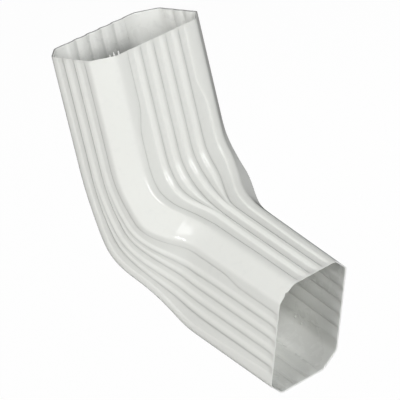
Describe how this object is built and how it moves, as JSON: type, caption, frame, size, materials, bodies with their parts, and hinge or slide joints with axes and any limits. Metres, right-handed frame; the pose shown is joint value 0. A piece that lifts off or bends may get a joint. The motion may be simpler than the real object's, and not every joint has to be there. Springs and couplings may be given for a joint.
{
  "type": "downspout elbow",
  "caption": "Bent, fluted sheet-metal tube that turns a rectangular rainwater pipe and changes its wide side over in the bend, with an open socket above and a spigot below, painted white.",
  "frame": {"origin": "middle of the upper mouth, in the plane of its rim", "axes": "+Z along the upper leg, up out of the upper mouth; the lower leg leaves down and towards -Y; X is across the bend, which is symmetric about the YZ plane"},
  "size_m": [0.0812, 0.1434, 0.1971],
  "materials": {
    "white_paint": "glossy baked white paint on thin aluminium sheet"
  },
  "bodies": {
    "root": {"elbow": "white_paint"}
  },
  "joints": []
}
